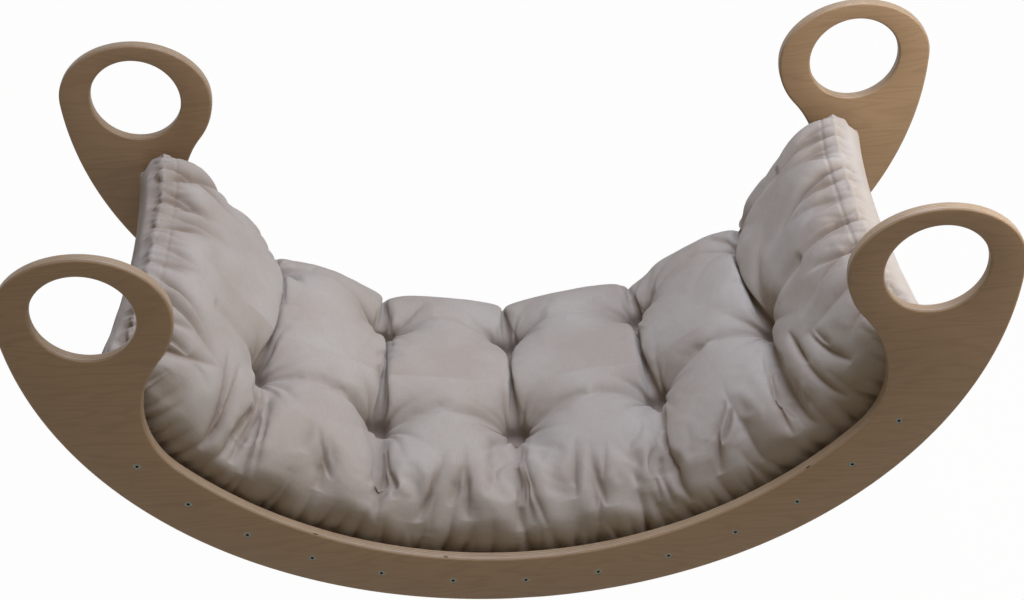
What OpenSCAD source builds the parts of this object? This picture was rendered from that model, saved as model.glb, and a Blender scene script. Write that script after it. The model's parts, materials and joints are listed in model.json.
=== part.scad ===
// Rocking seesaw seat: two plywood rocker sides with ring grips, thirteen seat slats
// between them and a deep tufted seat pad that lies in the cradle and lifts out.
// Frame: origin on the floor under the middle, X along the rockers, +Z up, front at -Y.

/* [Rocker sides] */
// Overall length over the two ring grips
rocker_length = 1200; // [1100:10:1300]
// Height of the grip holes' centres over the floor
grip_height = 514; // [480:1:540]
// Overall width over both sides
overall_width = 500; // [420:5:620]
// Thickness of the plywood sides
side_t = 15; // [12:1:21]
// Wood left under the seat hollow at mid length
rocker_depth = 77; // [70:1:95]

/* [Ring grips] */
// Diameter of a grip hole
grip_hole_d = 123; // [100:1:126]
// Width of a ring along the length
ring_width = 208; // [190:2:220]
// Height of a ring over its hole's centre
ring_rise = 86; // [80:1:100]

/* [Seat hollow] */
// Widest opening of the hollow
hollow_width = 904; // [860:2:920]
// Depth of that widest place below the grip holes
hollow_drop = 164; // [140:2:190]
// Radius of the hollow's tight ends
hollow_end_r = 125; // [100:5:160]

/* [Slats] */
// Number of slats
slat_count = 13; // [9:2:13]
// Width of a slat
slat_w = 64; // [50:1:66]
// Thickness of a slat
slat_t = 15; // [12:1:18]
// Step from slat to slat around the slat line, in degrees
slat_step = 10.35; // [10.2:0.05:10.6]
// Half length of the oval line that the slats' middles follow
slat_line_a = 535; // [528:1:540]
// Half depth of that line
slat_line_b = 460; // [456:1:464]
// Drop of that line's centre below the grip holes
slat_line_drop = 18; // [14:1:22]

/* [Fasteners] */
// Diameter of a screw's shank
screw_d = 7; // [6:0.5:8]
// Diameter of a screw's countersunk head
screw_head_d = 10; // [9:0.5:12]
// Length of a screw
screw_length = 50; // [40:5:60]
// Width across the flats of a screw's socket
socket_af = 4; // [3:1:5]
// Diameter of a wooden dowel
dowel_d = 8; // [6:1:8]
// Length of a dowel
dowel_length = 30; // [25:5:30]
// Distance of a dowel from its screw, across the slat
dowel_offset = 21; // [18:1:22]

/* [Seat pad] */
// Thickness of the pad at the crown of a cell
pad_t = 130; // [90:2:140]
// Gap between the pad and each side
pad_side_gap = 4; // [2:1:10]
// Angle that each half of the pad covers around the slat line
pad_half_angle = 81.5; // [76:0.5:84]
// Number of tuft columns along the pad
tuft_columns = 5; // [3:2:5]
// Step between tuft columns around the slat line, in degrees
tuft_step = 26.3; // [24:0.1:27]
// Distance of each tuft row from the pad's middle
tuft_row_y = 94; // [70:2:110]
// Depth that a tuft pulls the top down
tuft_dip = 34; // [10:1:36]
// Depth of the valleys that join the tufts
valley_dip = 10; // [6:1:20]

/* [Hidden] */
slat_names = [for (i = [1:slat_count]) str("slat_", i < 10 ? "0" : "", i)];

$fn = 64;
birch = "burlywood";
half_length = rocker_length / 2;
ring_r = ring_width / 2;
ring_x = half_length - ring_r;
inner_y = overall_width / 2 - side_t;

// The rocker's under edge is an oval cut into short flats. One flat lies on the floor.
edge_step = 4;
edge_steps = floor((90 - edge_step / 2) / edge_step);
axis_z = grip_height * cos(edge_step / 2);
function rocker_point(u) = [half_length * cos(u), axis_z + grip_height * sin(u)];
rocker_edge = concat(
    [rocker_point(180)],
    [for (k = [-edge_steps:edge_steps + 1]) rocker_point(270 + (k - 0.5) * edge_step)],
    [rocker_point(360)]);

// The seat hollow has a wide arc below and a tight arc at each end, which meet on one tangent.
hollow_x = hollow_width / 2;
hollow_z = axis_z - hollow_drop;
hollow_sag = grip_height - rocker_depth - hollow_drop;
hollow_r = (hollow_x * hollow_x + hollow_sag * hollow_sag - 2 * hollow_x * hollow_end_r)
    / (2 * (hollow_sag - hollow_end_r));
hollow_end_x = hollow_x - hollow_end_r;
hollow_mid_z = hollow_z - hollow_sag + hollow_r;
meet_angle = atan2(hollow_z - hollow_mid_z, hollow_end_x);

// The neck is one arc from the hollow's widest place to a tangent on the ring.
neck_reach = ring_x - hollow_x;
neck_r = (neck_reach * neck_reach + hollow_drop * hollow_drop - ring_r * ring_r)
    / (2 * (ring_r - neck_reach));
neck_x = hollow_x - neck_r;
neck_angle = atan2(hollow_drop, ring_x - neck_x);

// An arc's points after its first, which is the last point of the arc before it
function arc(cx, cz, rx, rz, from, to, steps) =
    [for (k = [1:steps]) let (a = from + (to - from) * k / steps) [cx + rx * cos(a), cz + rz * sin(a)]];

right_end = concat(
    arc(ring_x, axis_z, ring_r, ring_rise, 0, 180, 40),
    arc(ring_x, axis_z, ring_r, ring_r, 180, 180 + neck_angle, 8),
    arc(neck_x, hollow_z, neck_r, neck_r, neck_angle, 0, 8),
    arc(hollow_end_x, hollow_z, hollow_end_r, hollow_end_r, 0, meet_angle, 8),
    arc(0, hollow_mid_z, hollow_r, hollow_r, meet_angle, -90, 16));
left_end = [for (k = [len(right_end) - 2:-1:0]) [-right_end[k][0], right_end[k][1]]];
side_outline = concat(rocker_edge, right_end, left_end);

// Slats and fasteners
slat_axis_z = axis_z - slat_line_drop;
slat_length = 2 * inner_y;
function slat_angle(i) = -90 + (i - (slat_count - 1) / 2) * slat_step;
screw_play = 0.05;
screw_hole_depth = screw_length - side_t + 3;
head_h = (screw_head_d - screw_d) / 2;
head_sink = 0.3;
socket_depth = 3;
tip_h = 5;
dowel_in_side = 10;
dowel_hole_in_slat = dowel_length - dowel_in_side + 1;
// How far a cutting tool starts outside the wood
cut_over = 1;

// Seat pad
pad_clear = 0.6;
pad_a = slat_line_a - slat_t / 2 - pad_clear;
pad_b = slat_line_b - slat_t / 2 - pad_clear;
pad_half_w = inner_y - pad_side_gap;
// The crown is pad_t thick in the middle and thins by end_less over about this share of each half.
end_less = 12;
crown_spread = 0.38;
pad_end_t = pad_t - end_less;
tuft_spread = 26;
valley_spread = 16;
// Each end thins to a seam, pinched at its corners, and its under side lifts off the slat line.
end_start = 0.78;
end_seam_h = 64;
corner_seam_h = 36;
end_lift = 24;
corner_lift = 6;
// Sections along the pad, points around each, and how square a section's corners are
pad_rings = 56;
pad_ring_points = 24;
corner_power = 0.5;

// Tuft ties
tie_d = 2.4;
tie_foot = 3;
bar_length = 14;
bar_d = 4;

/* Places the children on slat i: X along its width, Z out of its thickness towards the seat. */
module on_slat(i) {
    a = slat_angle(i);
    tilt = atan2(slat_line_b * cos(a), -slat_line_a * sin(a));
    translate([slat_line_a * cos(a), 0, slat_axis_z + slat_line_b * sin(a)])
        rotate([0, -tilt, 0]) children();
}

/* A rod along +Y from y0, l long */
module rod(y0, l, d, sides = 32) {
    translate([0, y0, 0]) rotate([-90, 0, 0]) cylinder(h = l, d = d, $fn = sides);
}

module side_panel() {
    color(birch) difference() {
        translate([0, -inner_y, 0]) rotate([90, 0, 0]) linear_extrude(side_t) polygon(side_outline);
        for (x = [-ring_x, ring_x])
            translate([x, 0, axis_z])
                rod(-overall_width / 2 - cut_over, side_t + 2 * cut_over, grip_hole_d, sides = 96);
        for (i = [0:slat_count - 1]) on_slat(i) {
            rod(-overall_width / 2 - cut_over, side_t + 2 * cut_over, screw_d + 2 * screw_play);
            translate([0, -overall_width / 2, 0]) rotate([-90, 0, 0]) countersink();
            for (x = [-dowel_offset, dowel_offset])
                translate([x, 0, 0])
                    rod(-inner_y - dowel_in_side, dowel_in_side + cut_over, dowel_d + 2 * screw_play);
        }
    }
}

module countersink() {
    translate([0, 0, -cut_over])
        cylinder(h = cut_over + head_sink + screw_play, d = screw_head_d + 2 * screw_play, $fn = 48);
    translate([0, 0, head_sink + screw_play])
        cylinder(h = head_h, d1 = screw_head_d + 2 * screw_play, d2 = screw_d + 2 * screw_play, $fn = 48);
}

module slat(i) {
    color(birch) difference() {
        on_slat(i) translate([-slat_w / 2, -inner_y, -slat_t / 2]) cube([slat_w, slat_length, slat_t]);
        on_slat(i) for (side = [0, 1]) mirror([0, side, 0]) {
            rod(-inner_y - cut_over, screw_hole_depth + cut_over, screw_d + 2 * screw_play);
            for (x = [-dowel_offset, dowel_offset])
                translate([x, 0, 0])
                    rod(-inner_y - cut_over, dowel_hole_in_slat + cut_over, dowel_d + 2 * screw_play);
        }
    }
}

/* One flat-head screw with a hex socket, its head's face at y = 0 and its tip towards +Y */
module screw() {
    rotate([-90, 0, 0]) difference() {
        union() {
            cylinder(h = head_h, d1 = screw_head_d, d2 = screw_d, $fn = 48);
            cylinder(h = screw_length - tip_h, d = screw_d, $fn = 48);
            translate([0, 0, screw_length - tip_h])
                cylinder(h = tip_h, d1 = screw_d, d2 = screw_d / 2, $fn = 48);
        }
        translate([0, 0, -cut_over]) cylinder(h = socket_depth + cut_over, d = socket_af / cos(30), $fn = 6);
    }
}

module screws() {
    color("slategray") for (i = [0:slat_count - 1])
        on_slat(i) translate([0, -overall_width / 2 + head_sink, 0]) screw();
}

module dowels() {
    color("wheat") for (i = [0:slat_count - 1]) on_slat(i)
        for (x = [-dowel_offset, dowel_offset])
            translate([x, 0, 0]) rod(-inner_y - dowel_in_side, dowel_length, dowel_d);
}

/* The pad's under side follows the slats, and each point rises from it by h towards the seat. */
function pad_point(v, h) = let (n = [pad_b * cos(v), pad_a * sin(v)])
    [pad_a * cos(v), slat_axis_z + pad_b * sin(v)] - h * n / norm(n);
function soft_sign(x) = x < 0 ? -pow(-x, corner_power) : pow(x, corner_power);
function tuft_angle(c) = -90 + (c - (tuft_columns - 1) / 2) * tuft_step;
function along(v, c) = (v - tuft_angle(c)) * PI / 180 * (pad_a - pad_t);
function dip(v, y) =
    valley_dip * max([for (c = [0:tuft_columns - 1]) exp(-pow(along(v, c) / valley_spread, 2) / 2)])
    + tuft_dip * max([for (c = [0:tuft_columns - 1]) for (r = [-tuft_row_y, tuft_row_y])
        exp(-(pow(along(v, c), 2) + pow(y - r, 2)) / (2 * pow(tuft_spread, 2)))]);
// s goes from -1 at the pad's left end to 1 at its right end.
function crown(s) = pad_end_t + end_less * exp(-pow(s / crown_spread, 2));
// e goes from 0 where an end starts to thin to 1 at its seam, and w from 0 in the middle to 1 at a side.
function end_part(s) = max(0, (abs(s) - end_start) / (1 - end_start));
function ease(e) = e * e * (3 - 2 * e);
function lift(e, w) = ease(e) * (corner_lift + (end_lift - corner_lift) * (1 - w * w));
function seam_h(w) = corner_seam_h + (end_seam_h - corner_seam_h) * (1 - pow(w, 2.5));
function pad_section(s) = let (v = -90 + pad_half_angle * s, e = end_part(s), full = sqrt(1 - e * e))
    [for (k = [0:pad_ring_points - 1]) let (
            a = 360 * (k + 0.5) / pad_ring_points,
            across = soft_sign(cos(a)),
            y = pad_half_w * across,
            q = soft_sign(sin(a)),
            low = lift(e, abs(across)),
            high = seam_h(abs(across)) + (crown(s) - seam_h(abs(across))) * full,
            h = low + (high - low) * (1 + q) / 2 - max(0, q) * full * dip(v, y),
            p = pad_point(v, h))
        [p[0], y, p[1]]];
pad_stations = [for (k = [0:pad_rings]) sin(90 * (2 * k / pad_rings - 1))];

module seat_pad() {
    points = [for (s = pad_stations) for (p = pad_section(s)) p];
    n = pad_ring_points;
    walls = [for (i = [0:pad_rings - 1]) for (k = [0:n - 1])
        let (a = i * n + k, b = i * n + (k + 1) % n)
        for (face = [[a, b + n, b], [a, a + n, b + n]]) face];
    left_cap = [for (k = [0:n - 1]) k];
    right_cap = [for (k = [n - 1:-1:0]) pad_rings * n + k];
    color("tan") polyhedron(points, concat(walls, [left_cap, right_cap]));
}

/* A twine tie through the pad at each tuft, with a short bar of stitches on top */
module tuft_ties() {
    color("linen") for (c = [0:tuft_columns - 1]) for (y = [-tuft_row_y, tuft_row_y]) {
        v = tuft_angle(c);
        top = crown((v + 90) / pad_half_angle) - dip(v, y);
        foot = pad_point(v, tie_foot);
        lean = atan2(pad_b * cos(v), pad_a * sin(v));
        translate([foot[0], y, foot[1]]) rotate([0, lean + 180, 0]) {
            cylinder(h = top - tie_foot, d = tie_d, $fn = 24);
            translate([-bar_length / 2, 0, top - tie_foot]) rotate([0, 90, 0])
                cylinder(h = bar_length, d = bar_d, $fn = 24);
        }
    }
}

side_panel();  // front_side_panel
mirror([0, 1, 0]) side_panel();  // rear_side_panel
for (i = [0:slat_count - 1]) slat(i);
screws();  // front_screws
mirror([0, 1, 0]) screws();  // rear_screws
dowels();  // front_dowels
mirror([0, 1, 0]) dowels();  // rear_dowels
seat_pad();
tuft_ties();
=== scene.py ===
"""Rocking seesaw seat: plywood, screws and a sewn tufted pad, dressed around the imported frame."""

import json
import math
from functools import partial

import bmesh
import bpy
import numpy as np
from mathutils import Matrix, Vector
from mathutils.bvhtree import BVHTree

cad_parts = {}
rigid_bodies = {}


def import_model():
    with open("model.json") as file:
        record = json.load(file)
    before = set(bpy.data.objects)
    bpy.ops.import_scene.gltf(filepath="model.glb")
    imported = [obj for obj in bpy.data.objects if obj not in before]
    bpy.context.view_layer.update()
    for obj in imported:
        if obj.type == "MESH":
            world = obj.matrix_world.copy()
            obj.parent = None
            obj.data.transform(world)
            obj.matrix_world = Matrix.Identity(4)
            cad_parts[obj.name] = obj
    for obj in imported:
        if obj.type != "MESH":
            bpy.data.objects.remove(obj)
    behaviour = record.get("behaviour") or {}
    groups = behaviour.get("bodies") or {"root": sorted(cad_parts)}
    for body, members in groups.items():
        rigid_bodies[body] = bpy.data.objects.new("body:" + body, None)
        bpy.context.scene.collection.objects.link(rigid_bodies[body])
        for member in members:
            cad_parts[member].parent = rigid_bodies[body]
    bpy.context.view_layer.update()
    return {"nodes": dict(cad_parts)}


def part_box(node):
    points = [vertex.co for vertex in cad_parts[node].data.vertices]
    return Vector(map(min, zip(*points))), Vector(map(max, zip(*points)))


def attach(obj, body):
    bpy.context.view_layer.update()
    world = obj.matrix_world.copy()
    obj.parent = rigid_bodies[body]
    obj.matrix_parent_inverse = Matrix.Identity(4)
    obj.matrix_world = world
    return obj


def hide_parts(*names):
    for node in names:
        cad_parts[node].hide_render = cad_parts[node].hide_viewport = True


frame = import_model()

bl_info = {
    "name": "Rocking seesaw seat",
    "version": (1, 0, 0),
    "blender": (4, 5, 0),
    "location": "View3D > Sidebar > Seesaw",
    "description": "Plywood rocker sides, slats and a tufted seat pad around the packed frame",
    "category": "Object",
}

MM = 0.001
SLAT_NODES = sorted(name for name in frame["nodes"] if name.startswith("slat_"))
FRONT_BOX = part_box("front_side_panel")
HALF_LENGTH = FRONT_BOX[1].x
HALF_WIDTH = -FRONT_BOX[0].y
SIDE_T = FRONT_BOX[1].y - FRONT_BOX[0].y
INNER_Y = HALF_WIDTH - SIDE_T

# Screw and dowel holes, as in the CAD source
SCREW_HEAD_R = 5.05 * MM
SCREW_SHANK_R = 3.55 * MM
HEAD_SINK = 0.35 * MM
DOWEL_R = 4.05 * MM
DOWEL_OFFSET = 21 * MM
DOWEL_DEPTH = 10 * MM

# Half of the arc that the CAD source's rocker oval is cut flat at the floor
FLAT_HALF_ANGLE = math.radians(2)

# Edges that turn more than this stay sharp.
SHARP_ANGLE = math.radians(35)

# Disk lamps: name, place, aim and diameter in metres, and tint. Their power is a setting.
LAMPS = (
    ("key", (0.5, 0.08, 2.2), (0.1, 0.05, 0.15), 1.4, (0.89, 0.98, 1.22)),
    ("side", (1.25, -0.22, 0.95), (0.5, 0.2, 0.5), 0.6, (1.05, 1.0, 0.93)),
    ("fill", (-1.2, -2.3, 1.4), (0.2, 0, 0.25), 1.8, (1.12, 1.0, 0.74)),
)

IMAGE_SIZE = (1024, 600)
IMAGE_POINTS = {
    "whole_top": (863, 0),
    "grip_front_left": (81.5, 319),
    "grip_front_right": (938, 268),
    "grip_rear_left": (135, 99.5),
    "grip_rear_right": (854.5, 58),
    "screw_first": (137, 467),
    "screw_last": (899, 420.8),
    "tuft_front_1": (246, 386),
    "tuft_front_2": (372, 440),
    "tuft_front_3": (517, 445),
    "tuft_front_4": (663, 410),
    "tuft_front_5": (783, 338),
    "tuft_rear_1": (261, 278),
    "tuft_rear_2": (377, 346),
    "tuft_rear_3": (507, 358),
    "tuft_rear_4": (642, 331),
    "tuft_rear_5": (754, 255),
    "core_void_left": (315.7, 534),
    "core_void_middle": (445.8, 556.8),
    "core_void_right": (808, 467),
}


def millimetres(value, text, name):
    """A length property, given in millimetres and kept in metres."""
    return bpy.props.FloatProperty(
        name=name, description=text, default=value * MM, unit="LENGTH", precision=4)


def degrees(value, text, name):
    """An angle property, given in degrees and kept in radians."""
    return bpy.props.FloatProperty(
        name=name, description=text, default=math.radians(value), subtype="ANGLE")


def plain_number(value, text, name):
    """A plain number property."""
    return bpy.props.FloatProperty(name=name, description=text, default=value)


def hex_colour(value, text, name):
    """An sRGB hex colour property."""
    return bpy.props.StringProperty(name=name, description=text, default=value)


class SeesawPlywood(bpy.types.PropertyGroup):
    """Sizes and colours of the plywood parts, as in the CAD source"""

    ring_width: millimetres(208, "Width of a ring along the length", "Ring width")
    ring_rise: millimetres(86, "Height of a ring over its hole's centre", "Ring rise")
    grip_hole: millimetres(123, "Diameter of a grip hole", "Grip hole")
    grip_height: millimetres(514, "Depth of the rocker's oval below the grip holes", "Grip height")
    rocker_depth: millimetres(77, "Wood left under the seat hollow at mid length", "Rocker depth")
    hollow_width: millimetres(904, "Widest opening of the seat hollow", "Hollow width")
    hollow_drop: millimetres(164, "Depth of the widest place below the grip holes", "Hollow drop")
    hollow_end: millimetres(125, "Radius of the hollow's tight ends", "Hollow end radius")
    edge_round: millimetres(3.3, "Radius of the rounded edges", "Edge rounding")
    face_colour: hex_colour("#9F8363", "Birch face veneer", "Face")
    figure_colour: hex_colour("#7F6446", "Darker summer growth", "Figure")
    light_ply: hex_colour("#A99072", "Long-grain plies on the edge", "Light ply")
    dark_ply: hex_colour("#806E58", "Cross-grain plies on the edge", "Dark ply")
    # Painted shade: the core gaps' near-black colours stand in for the shade inside a gap.
    gap_shade_colour: hex_colour("#1B1209", "Bottom of a gap in a core ply", "Core gap")
    gap_edge_shade: hex_colour("#3A2918", "Raw wood at such a gap", "Core gap edge")


class SeesawPad(bpy.types.PropertyGroup):
    """Sizes and colours of the sewn pad"""

    slat_line_half_length: millimetres(
        526.9, "Half length of the oval that the slats' tops follow", "Oval length")
    slat_line_half_depth: millimetres(451.9, "Half depth of that oval", "Oval depth")
    slat_line_height: millimetres(495.69, "Height of that oval's centre over the floor", "Oval height")
    crown: millimetres(124, "Thickness at the crown of a cell", "Crown")
    end_thickness: millimetres(96, "Thickness at the ends", "End thickness")
    half_width: millimetres(231, "Half width of the sewn cover", "Half width")
    half_angle: degrees(84.5, "Angle each half covers", "Half angle")
    tuft_height: millimetres(79, "Thickness left under a tuft", "Tuft height")
    tuft_floor: millimetres(56, "Height over the slats at which a dressed funnel ends", "Tuft floor")
    tuft_width: millimetres(24, "Spread of the funnel round a tuft", "Tuft width")
    tie_reach: millimetres(8, "Cloth that each tie holds", "Tie reach")
    cell: millimetres(8, "Size of the simulated cells", "Cell")
    slack: millimetres(27, "Thickness that blowing up adds", "Slack")
    top_round: millimetres(46, "Rounding of the rear upper edge before it is blown up", "Top rounding")
    front_round: millimetres(84, "The same at the front", "Front rounding")
    bottom_round: millimetres(16, "Rounding of the lower edges", "Bottom rounding")
    corner_thickness: millimetres(42, "Height of the pinched corners over the slats", "Corner height")
    end_rise: millimetres(46, "Height of the end seams over the slats", "End height")
    end_lift: millimetres(24, "Gap that the ends leave to the slat line in the middle", "End lift")
    corner_lift: millimetres(6, "The same at the corners", "Corner lift")
    end_start: plain_number(0.84, "Where the ends' rounding starts", "End start")
    gather: plain_number(0.015, "Share by which the seams draw together", "Gather")
    end_lean: plain_number(0.08, "Share by which an end's foot stops short", "End lean")
    crease_depth: millimetres(10, "Depth of the creases between the columns", "Crease depth")
    crease_width: millimetres(5, "Spread of those creases", "Crease width")
    row_depth: millimetres(6, "Depth of the folds that join a row's tufts", "Row fold depth")
    row_arc: millimetres(8, "Way that those folds arch to the back", "Row fold arch")
    hem_rise: millimetres(36, "Height of the side seam over the slats", "Hem height")
    end_less: plain_number(0.5, "Share by which the ends swell less", "End swell")
    most_swell: millimetres(62, "Farthest that the cloth may move", "Most swell")
    fineness: bpy.props.IntProperty(
        name="Fineness", description="Subdivisions after it is blown up", default=2)
    crease_close: plain_number(0.8, "Share by which a crease closes", "Crease close")
    crease_reach: millimetres(12, "Reach of that closing", "Crease reach")
    funnel_slope: plain_number(0.95, "Steepness of a tuft's funnel", "Funnel slope")
    funnel_hold: plain_number(0.35, "How firmly the cloth round a tuft stays", "Funnel hold")
    funnel_width: millimetres(17, "Spread of that hold", "Funnel width")
    crease_hold: plain_number(0.15, "How firmly creases stay", "Crease hold")
    bending: plain_number(2.0, "Stiffness of the cover in bending", "Bending")
    pressure: plain_number(10.0, "Push of the filling", "Pressure")
    spare_cloth: plain_number(0.14, "Share by which the cover is cut too large", "Spare cloth")
    cloth_colour: hex_colour("#B1AAA1", "Unbleached cotton cover", "Cotton")
    fold_colour: hex_colour("#94826F", "Cotton's shaded threads", "Folds")
    # Painted shade: the colour that the cover is darkened towards where it lies deep in a fold.
    fold_shade_colour: hex_colour("#776350", "Cotton at the bottom of a fold", "Deep folds")
    frames: bpy.props.IntProperty(name="Frames", description="Steps of the simulation", default=22)
    thread_colour: hex_colour("#8F7F6F", "Sewing thread and twine", "Thread")


class SeesawFasteners(bpy.types.PropertyGroup):
    """Colours of the fasteners"""

    zinc_colour: hex_colour("#77766B", "Zinc-plated screw heads", "Zinc")
    stain_colour: hex_colour("#55544B", "Stains on the plating", "Zinc stains")
    beech_colour: hex_colour("#B08860", "Dowels", "Beech")
    fleck_colour: hex_colour("#8E6A45", "Flecks in the dowels' wood", "Beech flecks")


class SeesawStudio(bpy.types.PropertyGroup):
    """Camera and lamps"""

    lens: plain_number(61.2, "Focal length in millimetres", "Lens")
    eye: bpy.props.FloatVectorProperty(
        name="Eye", description="Where the camera stands", default=(-0.018, -1.842, 1.745), subtype="XYZ")
    yaw: degrees(-0.68, "Turn of the camera to the left", "Yaw")
    pitch: degrees(37.88, "Tilt of the camera below the horizon", "Pitch")
    roll: degrees(-2.99, "Roll of the camera", "Roll")
    floor_colour: hex_colour("#938A78", "Plain pale floor", "Floor")
    floor_glow: plain_number(0.98, "Share of white that the camera sees", "Floor glow")
    sky_colour: hex_colour("#FFD9A8", "Soft light from all round", "Sky")
    sky_strength: plain_number(0.115, "Its level", "Sky strength")
    key_power: plain_number(38.0, "Upper lamp in watts", "Key")
    side_power: plain_number(9.0, "Lamp beside the right end in watts", "Side")
    fill_power: plain_number(3.8, "Front lamp in watts", "Fill")


# ---------------------------------------------------------------- shared tools


def linear(colour):
    """An sRGB hex colour as the linear RGBA that sockets take."""
    channels = [int(colour[k:k + 2], 16) / 255 for k in (1, 3, 5)]
    return [c / 12.92 if c <= 0.04045 else ((c + 0.055) / 1.055) ** 2.4 for c in channels] + [1.0]


def set_sockets(node, inputs):
    """Sets a node's sockets to values, or links them to a chosen output or to a node's first output."""
    for key, value in inputs.items():
        if isinstance(value, bpy.types.Node):
            value = value.outputs[0]
        if isinstance(value, bpy.types.NodeSocket):
            node.id_data.links.new(value, node.inputs[key])
        else:
            node.inputs[key].default_value = value


def add_node(tree, kind, inputs=None, stops=(), **settings):
    """Adds a shader node with its sockets, its settings and, on a ramp, its stops: each a place and a
    hex colour or grey level."""
    node = tree.nodes.new("ShaderNode" + kind)
    for key, value in settings.items():
        setattr(node, key, value)
    if stops:
        elements = node.color_ramp.elements
        while len(elements) < len(stops):
            elements.new(0.5)
        for element, (place, value) in zip(elements, stops):
            element.position = place
            element.color = linear(value) if isinstance(value, str) else (value, value, value, 1.0)
    set_sockets(node, inputs or {})
    return node


def new_material(name):
    """A Principled material, its shader, and the function that adds nodes to it."""
    material = bpy.data.materials.new(name)
    material.use_nodes = True
    tree = material.node_tree
    return material, tree.nodes["Principled BSDF"], partial(add_node, tree)


def finish_mesh(name, mesh_builder, material, body="frame"):
    """Turns a bmesh into a piece that rides on a body, smooth apart from its sharp edges."""
    if mesh_builder.calc_volume(signed=True) < 0:
        bmesh.ops.reverse_faces(mesh_builder, faces=mesh_builder.faces)
    mesh = bpy.data.meshes.new(name)
    mesh_builder.to_mesh(mesh)
    mesh_builder.free()
    mesh.materials.append(material)
    mesh.shade_smooth()
    mesh.set_sharp_from_angle(angle=SHARP_ANGLE)
    piece = bpy.data.objects.new(name, mesh)
    bpy.context.scene.collection.objects.link(piece)
    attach(piece, body)
    return piece


def read_vectors(items, key):
    """One vector of each item, as an array's rows."""
    values = np.empty(len(items) * 3)
    items.foreach_get(key, values)
    return values.reshape(-1, 3)


def keep_vectors(mesh, name, values):
    """Keeps a vector for each vertex under a name."""
    attribute = mesh.attributes.get(name) or mesh.attributes.new(name, "FLOAT_VECTOR", "POINT")
    attribute.data.foreach_set("vector", values.astype(np.float32).ravel())


def wood_attribute(piece, to_sheet):
    """Keeps each vertex's place in its plywood sheet: along the grain, across it and through it."""
    keep_vectors(piece.data, "sheet", to_sheet(read_vectors(piece.data.vertices, "co")))


# ---------------------------------------------------------------- camera and placing


def camera_turn(studio):
    """The camera's rotation from its yaw, pitch and roll."""
    return (Matrix.Rotation(studio.yaw, 3, "Z")
            @ Matrix.Rotation(math.pi / 2 - studio.pitch, 3, "X")
            @ Matrix.Rotation(studio.roll, 3, "Z"))


def view_ray(point):
    """Start and direction of the camera's ray through an image point."""
    camera = bpy.context.scene.camera
    width, height = IMAGE_SIZE
    long_side = max(width, height)
    data = camera.data
    along = Vector((point[0] - width / 2 + data.shift_x * long_side,
                    height / 2 - point[1] + data.shift_y * long_side,
                    -long_side * data.lens / data.sensor_width))
    return camera.matrix_world.translation, (camera.matrix_world.to_3x3() @ along).normalized()


def points_named(start):
    """The image points whose names start so, in their order."""
    return [point for name, point in IMAGE_POINTS.items() if name.startswith(start)]


def facing(place, normal):
    """A matrix that sets things on a surface: its third axis is the normal, its first is square to Y."""
    across = Vector((0, 1, 0)).cross(normal).normalized()
    turned = Matrix((across, normal.cross(across), normal)).transposed()
    return Matrix.Translation(place) @ turned.to_4x4()


def add_bead(bm, matrix, half_sizes, segments):
    """Adds an oval bead with its half sizes in millimetres."""
    made = bmesh.ops.create_uvsphere(bm, u_segments=segments, v_segments=8, radius=1.0)
    scale = Matrix.Diagonal([size * MM for size in half_sizes] + [1])
    bmesh.ops.transform(bm, matrix=matrix @ scale, verts=made["verts"])


def carrier_tree(piece):
    """A BVH tree of a piece as finished and placed."""
    return BVHTree.FromObject(piece, bpy.context.evaluated_depsgraph_get())


def place_on(tree, point):
    """Where an image point's ray meets what carries a piece, and the normal there."""
    start, direction = view_ray(point)
    hit, normal, _, _ = tree.ray_cast(start, direction)
    if hit is None:
        # A ray that just misses takes the nearest place, searched between 1.5 and 3.5 m from the camera.
        candidates = [tree.find_nearest(start + direction * reach) for reach in np.linspace(1.5, 3.5, 81)]
        hit, normal, _, _ = min(candidates, key=lambda found: found[3])
    return hit, normal


# ---------------------------------------------------------------- materials


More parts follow.
